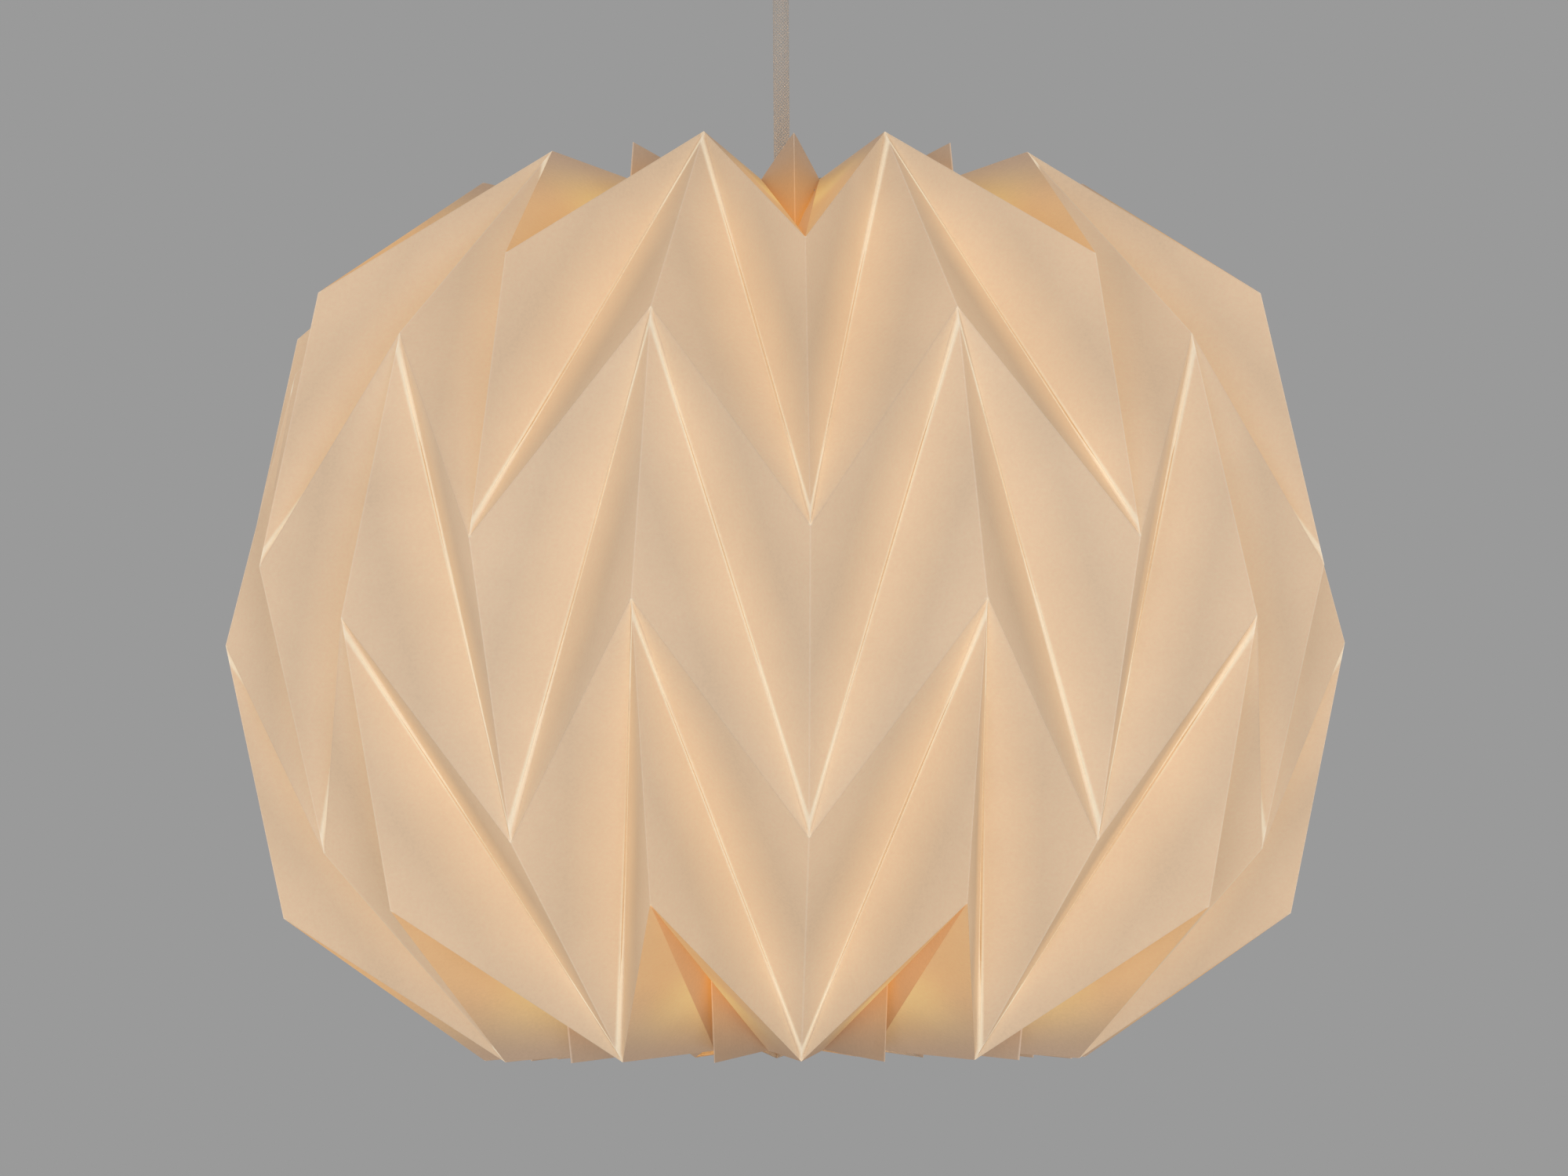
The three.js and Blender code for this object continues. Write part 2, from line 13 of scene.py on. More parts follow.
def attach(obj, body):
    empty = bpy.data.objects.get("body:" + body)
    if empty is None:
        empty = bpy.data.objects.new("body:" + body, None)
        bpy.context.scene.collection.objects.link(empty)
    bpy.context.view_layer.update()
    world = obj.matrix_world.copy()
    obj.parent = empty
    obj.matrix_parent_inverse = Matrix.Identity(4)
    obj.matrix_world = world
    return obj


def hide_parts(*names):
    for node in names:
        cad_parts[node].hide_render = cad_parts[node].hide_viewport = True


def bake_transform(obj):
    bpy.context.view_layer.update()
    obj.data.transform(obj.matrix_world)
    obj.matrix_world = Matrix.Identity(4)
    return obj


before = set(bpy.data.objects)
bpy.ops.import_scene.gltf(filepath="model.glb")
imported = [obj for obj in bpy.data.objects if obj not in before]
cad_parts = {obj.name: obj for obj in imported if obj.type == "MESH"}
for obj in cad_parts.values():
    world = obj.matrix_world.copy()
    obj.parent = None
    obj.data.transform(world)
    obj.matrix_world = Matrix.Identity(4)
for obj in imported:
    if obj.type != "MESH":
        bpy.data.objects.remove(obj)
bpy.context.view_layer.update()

logging.basicConfig(level=logging.INFO, format="%(message)s")
LOG = logging.getLogger("lantern")

MM = 0.001
SHADE_MIDDLE = -0.305
FRONT_TURN = math.radians(2.37)
CORD_RADIUS = 0.0029
CUP_BUSH_BOTTOM = -0.066
HOLDER_GRIP_TOP = SHADE_MIDDLE + 0.155


class Body(Enum):
    """The CAD bodies that pieces ride on."""

    CEILING = "ceiling"
    PENDANT = "pendant"
    SHADE = "shade"
    RING = "ring"
    BULB = "bulb"


# ---- small tools ---------------------------------------------------------------------

def linear(colour: str) -> tuple[float, float, float, float]:
    """Turns an sRGB hex colour into linear light.

    Args:
        colour: The colour as "#rrggbb".

    Returns:
        Linear red, green, blue and an alpha of one.
    """
    channels = [int(colour[i:i + 2], 16) / 255 for i in (1, 3, 5)]
    light = [c / 12.92 if c <= 0.04045 else ((c + 0.055) / 1.055) ** 2.4 for c in channels]
    return (*light, 1.0)


def add_node(tree: bpy.types.NodeTree, kind: str, settings: dict | None = None,
             **inputs: object) -> bpy.types.Node:
    """Adds a node with its settings and what goes into it.

    Args:
        tree: The node tree that gets the node.
        kind: The node's type name.
        settings: Attributes of the node.
        inputs: Socket name or "s" and its number, to a value or an output socket.

    Returns:
        The new node.
    """
    node = tree.nodes.new(kind)
    for name, value in (settings or {}).items():
        setattr(node, name, value)
    for name, value in inputs.items():
        numbered = name[0] == "s" and name[1:].isdigit()
        socket = node.inputs[int(name[1:])] if numbered else node.inputs[name.replace("_", " ")]
        if isinstance(value, bpy.types.NodeSocket):
            tree.links.new(value, socket)
        else:
            socket.default_value = value
    return node


def new_material(name: str) -> tuple[bpy.types.Material, bpy.types.NodeTree, bpy.types.Node]:
    """Makes an empty material with a principled shader.

    Args:
        name: The material's name.

    Returns:
        The material, its node tree and its principled node.
    """
    material = bpy.data.materials.new(name)
    material.use_nodes = True
    tree = material.node_tree
    return material, tree, tree.nodes["Principled BSDF"]


def finished(bm: bmesh.types.BMesh, name: str, materials: Sequence[bpy.types.Material],
             smooth: bool = True) -> bpy.types.Object:
    """Turns a bmesh into an object at the origin.

    Args:
        bm: The mesh under construction; it is freed.
        name: The object's name.
        materials: Its material slots in order.
        smooth: Whether faces are shaded smooth.

    Returns:
        The object, linked to the scene.
    """
    for face in bm.faces:
        face.smooth = smooth
    mesh = bpy.data.meshes.new(name)
    bm.to_mesh(mesh)
    bm.free()
    for material in materials:
        mesh.materials.append(material)
    piece = bpy.data.objects.new(name, mesh)
    bpy.context.scene.collection.objects.link(piece)
    return piece


def placed(piece: bpy.types.Object, body: Body, slot: str, *nodes: str) -> bpy.types.Object:
    """Lets a piece ride on its body and stand for its CAD nodes.

    Args:
        piece: The finished object.
        body: The CAD body it moves with.
        slot: The material slot's name; not used.
        nodes: The CAD nodes it stands for.

    Returns:
        The same object.
    """
    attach(piece, body.value)
    if nodes:
        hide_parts(*nodes)
    LOG.info("%s: %d faces on %s", piece.name, len(getattr(piece.data, "polygons", ())), body.value)
    return piece


def turned(points: Iterable[tuple[float, float]], steps: int = 72,
           closed: bool = True) -> bmesh.types.BMesh:
    """Spins a profile about the vertical axis.

    Args:
        points: Radius and height pairs in metres.
        steps: Segments of the full turn.
        closed: Whether the profile closes on itself.

    Returns:
        The spun bmesh, with its faces outwards.
    """
    bm = bmesh.new()
    verts = [bm.verts.new((r, 0, z)) for r, z in points]
    edges = [bm.edges.new(pair) for pair in zip(verts, verts[1:])]
    if closed:
        edges.append(bm.edges.new((verts[-1], verts[0])))
    bmesh.ops.spin(bm, geom=verts + edges, cent=(0, 0, 0), axis=(0, 0, 1),
                   angle=math.tau, steps=steps, use_merge=True)
    bmesh.ops.remove_doubles(bm, verts=bm.verts, dist=1e-6)
    bmesh.ops.recalc_face_normals(bm, faces=bm.faces)
    return bm


def softened(bm: bmesh.types.BMesh, width: float, angle: float = 0.5) -> bmesh.types.BMesh:
    """Rounds the sharp edges of a mesh.

    Args:
        bm: The mesh.
        width: Width of the rounding in metres.
        angle: Edges that turn by more than this, in radians, are rounded.

    Returns:
        The same mesh.
    """
    sharp = [e for e in bm.edges if len(e.link_faces) == 2 and e.calc_face_angle() > angle]
    bmesh.ops.bevel(bm, geom=sharp, offset=width, offset_type="OFFSET", affect="EDGES",
                    segments=2, profile=0.5, material=-1, clamp_overlap=True)
    return bm


def shade_heights(points: Iterable[tuple[float, float]]) -> list[tuple[float, float]]:
    """Radius and height in millimetres from the shade's middle, as metres in the frame."""
    return [(r * MM, z * MM + SHADE_MIDDLE) for r, z in points]


def frame_heights(points: Iterable[tuple[float, float]]) -> list[tuple[float, float]]:
    """Radius and height in millimetres from the ceiling, as metres."""
    return [(r * MM, z * MM) for r, z in points]


# ---- finishes ------------------------------------------------------------------------

@dataclass(frozen=True)
class LitCard:
    """Uncoated card, about 200 gram, folded, with a warm bulb behind it.

    The card's own colour takes the room's light, so panels turned away grow darker and
    yellower. The bulb's light through the card is painted in as amber emission: painted
    light that is brighter towards the folds that point inwards, nearest the bulb, with a
    painted pale highlight line on each of them, and painted darker towards both rims and
    beside the other folds. A painted pale hairline highlight runs along the upright folds.
    """

    name: str = "lit_card_outside"
    sheet: str = "#e4dacb"
    # Painted light: deep, glow and line are emission colours that stand in for the bulb's light
    # through the card, and line is a painted highlight. Rim is painted shade towards both rims.
    deep: str = "#7b5621"
    glow: str = "#956f42"
    line: str = "#a8987d"
    rim: str = "#6d4b1c"
    # Painted highlight: the pale hairline colour along the upright folds.
    hairline_highlight: str = "#f6efe6"
    glow_reach_mm: float = 30.0
    row_mm: float = 98.7
    half_column_mm: float = 69.3
    step: float = 0.66
    meet_mm: float = 4.4
    # Sizes and strengths of the painted highlight lines, the painted crease shade and the painted
    # rim shade.
    highlight_line_mm: tuple[float, float] = (0.3, 1.5)
    crease_shade_mm: tuple[float, float] = (0.1, 0.7)
    rim_shade_heights: tuple[float, float] = (0.155, 0.115)
    rim_shade_amount: float = 0.6
    crease_shade_amount: float = 0.12
    stem_highlight_amount: float = 0.5
    relief: float = 0.2
    relief_depth: float = 0.0003

    def net(self, tree: bpy.types.NodeTree) -> tuple[bpy.types.Node, bpy.types.Node]:
        """Reads the place on the flat net and in the object.

        Args:
            tree: The material's tree.

        Returns:
            The separated net coordinates and the texture coordinates.
        """
        net = add_node(tree, "ShaderNodeUVMap", {"uv_map": "net"})
        uv = add_node(tree, "ShaderNodeSeparateXYZ", None, s0=net.outputs[0])
        return uv, add_node(tree, "ShaderNodeTexCoord")

    def upright(self, tree: bpy.types.NodeTree, uv: bpy.types.Node) -> bpy.types.NodeSocket:
        """Distance in millimetres to the nearest upright fold.

        Args:
            tree: The material's tree.
            uv: The separated net coordinates.

        Returns:
            The socket with the distance.
        """
        wave = add_node(tree, "ShaderNodeMath", {"operation": "PINGPONG"}, s0=uv.outputs[0],
                        s1=0.5)
        return add_node(tree, "ShaderNodeMath", {"operation": "MULTIPLY"}, s0=wave.outputs[0],
                        s1=self.half_column_mm).outputs[0]

    def distance(self, tree: bpy.types.NodeTree, uv: bpy.types.Node, slope: float,
                 start: float = 0.0) -> bpy.types.NodeSocket:
        """Distance in millimetres to the nearest fold of one slope.

        Args:
            tree: The material's tree.
            uv: The separated net coordinates.
            slope: Rows climbed from an even to an odd line.
            start: Rows above the corner where the fold leaves the even line.

        Returns:
            The socket with the distance.
        """
        lean = add_node(tree, "ShaderNodeMath", {"operation": "MULTIPLY_ADD"},
                        s0=uv.outputs[0], s1=slope, s2=start)
        row = add_node(tree, "ShaderNodeMath", {"operation": "SUBTRACT"},
                       s0=uv.outputs[1], s1=lean.outputs[0])
        wave = add_node(tree, "ShaderNodeMath", {"operation": "PINGPONG"}, s0=row.outputs[0],
                        s1=0.5)
        rise = slope * self.row_mm
        across = self.half_column_mm / math.hypot(self.half_column_mm, rise)
        scaled = add_node(tree, "ShaderNodeMath", {"operation": "MULTIPLY"},
                          s0=wave.outputs[0], s1=self.row_mm * across)
        return scaled.outputs[0]

    def near(self, tree: bpy.types.NodeTree, distance: bpy.types.NodeSocket, start: float,
             end: float) -> bpy.types.NodeSocket:
        """One beside a fold, fading to nothing.

        Args:
            tree: The material's tree.
            distance: Millimetres from the fold.
            start: Where the fade starts.
            end: Where it ends.

        Returns:
            The socket with the fade.
        """
        ramp = add_node(tree, "ShaderNodeMapRange", {"interpolation_type": "SMOOTHSTEP"},
                        s0=distance, s1=start, s2=end, s3=1.0, s4=0.0)
        return ramp.outputs[0]

    def stem(self, tree: bpy.types.NodeTree, uv: bpy.types.Node,
             odd: bool) -> bpy.types.NodeSocket:
        """Where a painted highlight goes: the short pinched crease where two bright folds meet
        before the corner.

        Args:
            tree: The material's tree.
            uv: The separated net coordinates.
            odd: Whether the corner is on an odd line, below which the folds meet.

        Returns:
            The socket that is one on the crease.
        """
        across = add_node(tree, "ShaderNodeMath", {"operation": "MULTIPLY_ADD"}, s0=uv.outputs[0],
                          s1=-self.half_column_mm if odd else self.half_column_mm,
                          s2=self.half_column_mm if odd else 0.0)
        row = add_node(tree, "ShaderNodeMath", {"operation": "MULTIPLY_ADD"}, s0=uv.outputs[1],
                       s1=-1.0 if odd else 1.0, s2=self.step if odd else 0.0)
        part = add_node(tree, "ShaderNodeMath", {"operation": "FRACT"}, s0=row.outputs[0])
        along = add_node(tree, "ShaderNodeMath", {"operation": "MULTIPLY"}, s0=part.outputs[0],
                         s1=self.row_mm)
        beside = self.near(tree, across.outputs[0], 0.4, 1.3)
        within = self.near(tree, along.outputs[0], self.meet_mm - 0.6, self.meet_mm + 0.6)
        both = add_node(tree, "ShaderNodeMath", {"operation": "MULTIPLY"}, s0=beside, s1=within)
        return both.outputs[0]

    def blend(self, tree: bpy.types.NodeTree, factor: bpy.types.NodeSocket, amount: float,
              under: object, over: object) -> bpy.types.NodeSocket:
        """Lays one colour over another.

        Args:
            tree: The material's tree.
            factor: Where the upper colour shows.
            amount: How strongly it shows there.
            under: The lower colour.
            over: The upper colour.

        Returns:
            The socket with the mixed colour.
        """
        weight = add_node(tree, "ShaderNodeMath", {"operation": "MULTIPLY"}, s0=factor, s1=amount)
        mix = add_node(tree, "ShaderNodeMix", {"data_type": "RGBA", "blend_type": "MIX"},
                       s0=weight.outputs[0], s6=under, s7=over)
        return mix.outputs[2]

    def height(self, tree: bpy.types.NodeTree, place: bpy.types.Node) -> bpy.types.NodeSocket:
        """Metres above or below the shade's middle.

        Args:
            tree: The material's tree.
            place: The texture coordinates.

        Returns:
            The socket with the height.
        """
        spot = add_node(tree, "ShaderNodeSeparateXYZ", None, s0=place.outputs["Object"])
        up = add_node(tree, "ShaderNodeMath", {"operation": "SUBTRACT"}, s0=spot.outputs[2],
                      s1=SHADE_MIDDLE)
        away = add_node(tree, "ShaderNodeMath", {"operation": "ABSOLUTE"}, s0=up.outputs[0])
        return away.outputs[0]

    def formation(self, tree: bpy.types.NodeTree,
                  place: bpy.types.Node) -> tuple[bpy.types.NodeSocket, bpy.types.NodeSocket]:
        """The card's fibres, and its cloudy look against the light.

        Args:
            tree: The material's tree.
            place: The texture coordinates.

        Returns:
            The fine fibre value, and a brightness near one.
        """
        # Fibres are 0.1 mm; they are drawn 0.8 mm wide so that they show.
        fine = add_node(tree, "ShaderNodeTexNoise", None, Vector=place.outputs["Object"],
                        Scale=900.0, Detail=4.0, Roughness=0.65)
        broad = add_node(tree, "ShaderNodeTexNoise", None, Vector=place.outputs["Object"],
                         Scale=28.0, Detail=3.0, Roughness=0.5)
        cloud = add_node(tree, "ShaderNodeMapRange", None, s0=broad.outputs["Fac"], s1=0.3, s2=0.7,
                         s3=0.97, s4=1.03)
        speck = add_node(tree, "ShaderNodeMapRange", None, s0=fine.outputs["Fac"], s1=0.3, s2=0.7,
                         s3=0.965, s4=1.035)
        both = add_node(tree, "ShaderNodeMath", {"operation": "MULTIPLY"},
                        s0=cloud.outputs[0], s1=speck.outputs[0])
        return fine.outputs["Fac"], both.outputs[0]

    def light(self, tree: bpy.types.NodeTree, shader: bpy.types.Node, tone: bpy.types.NodeSocket,
              card: bpy.types.NodeSocket, lamp: bpy.types.NodeSocket,
              fibres: bpy.types.NodeSocket) -> None:
        """Connects the card's own colour, the bulb's light through the card painted as emission,
        and the relief.

        Args:
            tree: The material's tree.
            shader: The principled node.
            tone: The brightness of the formation.
            card: The card's colour, with its painted hairline highlight.
            lamp: The painted light, as emission colour, that stands for the light coming through.
            fibres: The fine fibre value.
        """
        for colour, socket in ((card, "Base Color"), (lamp, "Emission Color")):
            toned = add_node(tree, "ShaderNodeMix", {"data_type": "RGBA", "blend_type": "MULTIPLY"},
                             s0=1.0, s6=colour, s7=tone)
            tree.links.new(toned.outputs[2], shader.inputs[socket])
        shader.inputs["Emission Strength"].default_value = 1.0
        shader.inputs["Roughness"].default_value = 0.85
        bump = add_node(tree, "ShaderNodeBump", None, Strength=self.relief,
                        Distance=self.relief_depth, Height=fibres)
        tree.links.new(bump.outputs[0], shader.inputs["Normal"])

    def build(self) -> bpy.types.Material:
        """Makes the material.

        Returns:
            The material.
        """
        material, tree, shader = new_material(self.name)
        uv, place = self.net(tree)
        meet = self.meet_mm / self.row_mm
        bright = self.distance(tree, uv, 1.0 + self.step - 2 * meet, meet)
        other = self.distance(tree, uv, self.step)
        fine, tone = self.formation(tree, place)
        # Painted light: amber emission for the bulb's light through the card, brighter near the
        # bright folds.
        lamp = self.blend(tree, self.near(tree, bright, 0.0, self.glow_reach_mm), 1.0,
                          linear(self.deep), linear(self.glow))
        # Painted shade: the emission grows darker towards both rims.
        away = self.height(tree, place)
        lamp = self.blend(tree, self.near(tree, away, *self.rim_shade_heights), self.rim_shade_amount, lamp,
                          linear(self.rim))
        # Painted shade: a dark line beside the other folds.
        lamp = self.blend(tree, self.near(tree, other, *self.crease_shade_mm), self.crease_shade_amount, lamp,
                          (0, 0, 0, 1))
        # Painted highlight: a pale line along each bright fold.
        lamp = self.blend(tree, self.near(tree, bright, *self.highlight_line_mm), 1.0, lamp,
                          linear(self.line))
        # Painted highlight on the pinched stems where the bright folds meet.
        for odd in (False, True):
            lamp = self.blend(tree, self.stem(tree, uv, odd), self.stem_highlight_amount, lamp,
                              linear(self.line))
        # Painted highlight: a pale hairline along the upright folds, in the card's colour.
        card = self.blend(tree, self.near(tree, self.upright(tree, uv), 0.1, 0.6), 0.5,
                          linear(self.sheet), linear(self.hairline_highlight))
        self.light(tree, shader, tone, card, lamp, fine)
        return material


@dataclass(frozen=True)
class InnerCard(LitCard):
    """The same card where it turns inwards, painted darker as shade, its bulb light
    painted as amber emission with a painted pool of light near the axis and painted
    shade browner towards its free edge.
    """

    name: str = "lit_card_flap"
    # Painted shade: the card's colour painted darker than outside.
    sheet: str = "#cdc0b0"
    # Painted light and shade: deep and spot are emission for the bulb's light, and spot is a
    # painted pool of light. Edge is painted shade towards the free edge.
    deep: str = "#a8762f"
    spot: str = "#bc9440"
    edge: str = "#6c4a2b"
    deep_height: float = 0.128
    edge_shade_height: float = 0.157
    light_pool_radius: float = 0.105
    light_pool_fade: float = 0.03
    relief: float = 0.25

    def build(self) -> bpy.types.Material:
        """Makes the material.

        Returns:
            The material.
        """
        material, tree, shader = new_material(self.name)
        uv, place = self.net(tree)
        fine, tone = self.formation(tree, place)
        flat = add_node(tree, "ShaderNodeVectorMath", {"operation": "MULTIPLY"},
                        s0=place.outputs["Object"], s1=(1.0, 1.0, 0.0))
        radius = add_node(tree, "ShaderNodeVectorMath", {"operation": "LENGTH"}, s0=flat.outputs[0])
        # Painted light: a pool of yellow light near the axis.
        spot = self.near(tree, radius.outputs["Value"], self.light_pool_radius,
                         self.light_pool_radius + self.light_pool_fade)
        lamp = self.blend(tree, spot, 1.0, linear(self.deep), linear(self.spot))
        # Painted shade: browner towards the free edge.
        rim = self.near(tree, self.height(tree, place), self.edge_shade_height, self.deep_height)
        lamp = self.blend(tree, rim, 1.0, lamp, linear(self.edge))
        # Painted highlight: a pale hairline along the upright folds.
        card = self.blend(tree, self.near(tree, self.upright(tree, uv), 0.2, 0.8), 0.8,
                          linear(self.sheet), linear(self.hairline_highlight))
        self.light(tree, shader, tone, card, lamp, fine)
        return material


@dataclass(frozen=True)
class SolidFinish:
    """A moulded, turned or plated surface with fine wear.

    The pattern is noise at a real grain size. A streak above one stretches it round the
    part, as drawing and turning do.
    """

    name: str
    colour: str
    roughness: float = 0.4
    metallic: float = 0.0
    grain_mm: float = 1.5
    variation: float = 0.06
    bump_mm: float = 0.02
    streak: float = 1.0
    coat: float = 0.0
    glow: str | None = None
    glow_strength: float = 0.0
    transmission: float = 0.0
    ior: float | None = None
    wear_scale: float = 60.0

    def build(self) -> bpy.types.Material:
        """Makes the material.

        Returns:
            The material.
        """
        material, tree, shader = new_material(self.name)
        place = add_node(tree, "ShaderNodeTexCoord")
        scaled = add_node(tree, "ShaderNodeMapping", None, Vector=place.outputs["Object"],
                          Scale=(1.0, 1.0, self.streak))
        grain = add_node(tree, "ShaderNodeTexNoise", None, Vector=scaled.outputs[0],
                         Scale=1000.0 / self.grain_mm, Detail=4.0, Roughness=0.6)
        wear = add_node(tree, "ShaderNodeTexNoise", None, Vector=place.outputs["Object"],
                        Scale=self.wear_scale, Detail=2.0, Roughness=0.5)
        both = add_node(tree, "ShaderNodeMath", {"operation": "MULTIPLY"},
                        s0=grain.outputs["Fac"], s1=wear.outputs["Fac"])
        tone = add_node(tree, "ShaderNodeMapRange", None, s0=both.outputs[0], s1=0.1, s2=0.45,
                        s3=1.0 - self.variation, s4=1.0 + self.variation)
        colour = add_node(tree, "ShaderNodeMix", {"data_type": "RGBA", "blend_type": "MULTIPLY"},
                          s0=1.0, s6=linear(self.colour), s7=tone.outputs[0])
        rough = add_node(tree, "ShaderNodeMapRange", None, s0=wear.outputs["Fac"], s1=0.3, s2=0.7,
                         s3=max(self.roughness - 0.06, 0.02), s4=self.roughness + 0.08)
        bump = add_node(tree, "ShaderNodeBump", None, Strength=0.3, Distance=self.bump_mm * MM,
                        Height=grain.outputs["Fac"])
        tree.links.new(colour.outputs[2], shader.inputs["Base Color"])
        tree.links.new(rough.outputs[0], shader.inputs["Roughness"])
        tree.links.new(bump.outputs[0], shader.inputs["Normal"])
        shader.inputs["Metallic"].default_value = self.metallic
        shader.inputs["Coat Weight"].default_value = self.coat
        shader.inputs["Transmission Weight"].default_value = self.transmission
        if self.ior:
            shader.inputs["IOR"].default_value = self.ior
        if self.glow:
            shader.inputs["Emission Color"].default_value = linear(self.glow)
            shader.inputs["Emission Strength"].default_value = self.glow_strength
        return material


@dataclass(frozen=True)
class Braid:
    """Woven textile sleeve over a round cord: two sets of yarns crossing at 45 degrees."""

    name: str = "woven_cord_sleeve"
    light: str = "#dcdcda"
    # Painted shade: the colour painted into the gaps between the yarns.
    groove_shade: str = "#bfbeba"
    yarn_mm: float = 0.9
    crossing: float = math.radians(45)

    def build(self) -> bpy.types.Material:
        """Makes the material.

        Returns:
            The material.
        """
        material, tree, shader = new_material(self.name)
        net = add_node(tree, "ShaderNodeUVMap", {"uv_map": "sleeve"})
        waves = []
        for turn in (self.crossing, -self.crossing):
            spun = add_node(tree, "ShaderNodeMapping", None, Vector=net.outputs[0],
                            Rotation=(0.0, 0.0, turn))
            wave = add_node(tree, "ShaderNodeTexWave", {"wave_profile": "SIN"},
                            Vector=spun.outputs[0], Scale=math.tau / (20 * self.yarn_mm),
                            Distortion=0.3, Detail=1.0)
            waves.append(wave.outputs["Fac"])
        weave = add_node(tree, "ShaderNodeMath", {"operation": "MAXIMUM"}, s0=waves[0], s1=waves[1])
        place = add_node(tree, "ShaderNodeTexCoord")
        fuzz = add_node(tree, "ShaderNodeTexNoise", None, Vector=place.outputs["Object"],
                        Scale=2500.0, Detail=3.0)
        height = add_node(tree, "ShaderNodeMath", {"operation": "MULTIPLY_ADD"},
                          s0=fuzz.outputs["Fac"], s1=0.3, s2=weave.outputs[0])
        # Painted shade: the colour darkens into the gaps between the yarns, with a little fibre
        # fuzz.
        colour = add_node(tree, "ShaderNodeMix", {"data_type": "RGBA"}, s0=height.outputs[0],
                          s6=linear(self.groove_shade), s7=linear(self.light))
        bump = add_node(tree, "ShaderNodeBump", None, Strength=0.6, Distance=0.0003,
                        Height=height.outputs[0])
        tree.links.new(colour.outputs[2], shader.inputs["Base Color"])
        tree.links.new(bump.outputs[0], shader.inputs["Normal"])
        shader.inputs["Roughness"].default_value = 0.85
        shader.inputs["Sheen Weight"].default_value = 0.3
        return material


@dataclass
class Finishes:
    """Every finish, made once."""

    card: bpy.types.Material = field(default_factory=lambda: LitCard().build())
    flap: bpy.types.Material = field(default_factory=lambda: InnerCard().build())
    # The tooth's finish is a copy of the flap's, painted darker as shade, without the pool of
    # light.
    tooth: bpy.types.Material = field(default_factory=lambda: InnerCard(
        name="lit_card_tooth_shaded", sheet="#c6baac", deep="#9a6428", spot="#9a6428",
        edge="#523822").build())
    # The inside finish paints the bulb's light on the card's inner face as emission, with painted
    # shade nearly black towards the rims.
    inside: bpy.types.Material = field(default_factory=lambda: InnerCard(
        name="lit_card_inside", sheet="#e4dacb", deep="#7a5a30", spot="#7a5a30",
        edge="#33200f").build())
    braid: bpy.types.Material = field(default_factory=lambda: Braid().build())
    cotton: bpy.types.Material = field(default_factory=lambda: SolidFinish(
        "twisted_cotton", "#d8cdb8", 0.9, grain_mm=0.4, variation=0.15, bump_mm=0.2).build())
    thread_end: bpy.types.Material = field(default_factory=lambda: SolidFinish(
        "singed_thread_end", "#4a4744", 0.8, grain_mm=0.4, variation=0.15, bump_mm=0.1).build())
    plastic: bpy.types.Material = field(default_factory=lambda: SolidFinish(
        "moulded_white_thermoset", "#e9e6de", 0.38, grain_mm=0.6, variation=0.03, coat=0.15,
        ior=1.5).build())
    enamel: bpy.types.Material = field(default_factory=lambda: SolidFinish(
        "powder_coated_steel", "#eceae5", 0.5, grain_mm=0.5, variation=0.03, bump_mm=0.04,
        ior=1.5).build())
    zinc: bpy.types.Material = field(default_factory=lambda: SolidFinish(
        "zinc_plated_wire", "#c3c4c2", 0.32, 1.0, grain_mm=0.8, variation=0.08).build())
    steel: bpy.types.Material = field(default_factory=lambda: SolidFinish(
        "drawn_steel", "#b2b5b7", 0.36, 1.0, grain_mm=0.5, variation=0.08, streak=4.0).build())
    brass: bpy.types.Material = field(default_factory=lambda: SolidFinish(
        "stamped_brass", "#c9a24e", 0.3, 1.0, grain_mm=0.6, variation=0.08).build())
    nickel: bpy.types.Material = field(default_factory=lambda: SolidFinish(
        "rolled_nickel_cap", "#c9cacb", 0.28, 1.0, grain_mm=0.6, variation=0.06).build())
    ceramic: bpy.types.Material = field(default_factory=lambda: SolidFinish(
        "glazed_steatite", "#f0ece2", 0.22, grain_mm=1.0, variation=0.03, coat=0.4,
        ior=1.55).build())
    black_glass: bpy.types.Material = field(default_factory=lambda: SolidFinish(
        "black_vitrite", "#1a191c", 0.2, grain_mm=0.8, variation=0.1, coat=0.5, ior=1.5).build())
    opal: bpy.types.Material = field(default_factory=lambda: SolidFinish(
        "opal_coated_glass", "#fbf4e6", 0.25, grain_mm=0.8, variation=0.01, coat=0.3, ior=1.5,
        glow="#ffd9a0", glow_strength=5.0).build())
    clear: bpy.types.Material = field(default_factory=lambda: SolidFinish(
        "drawn_clear_glass", "#f3f3ee", 0.05, grain_mm=2.0, variation=0.01, transmission=0.9,
        ior=1.5).build())
    filament: bpy.types.Material = field(default_factory=lambda: SolidFinish(
        "coated_light_bar", "#ffcf7a", 0.6, grain_mm=0.5, variation=0.05, glow="#ffb347",
        glow_strength=6.0).build())


# ---- camera, light and floor ---------------------------------------------------------

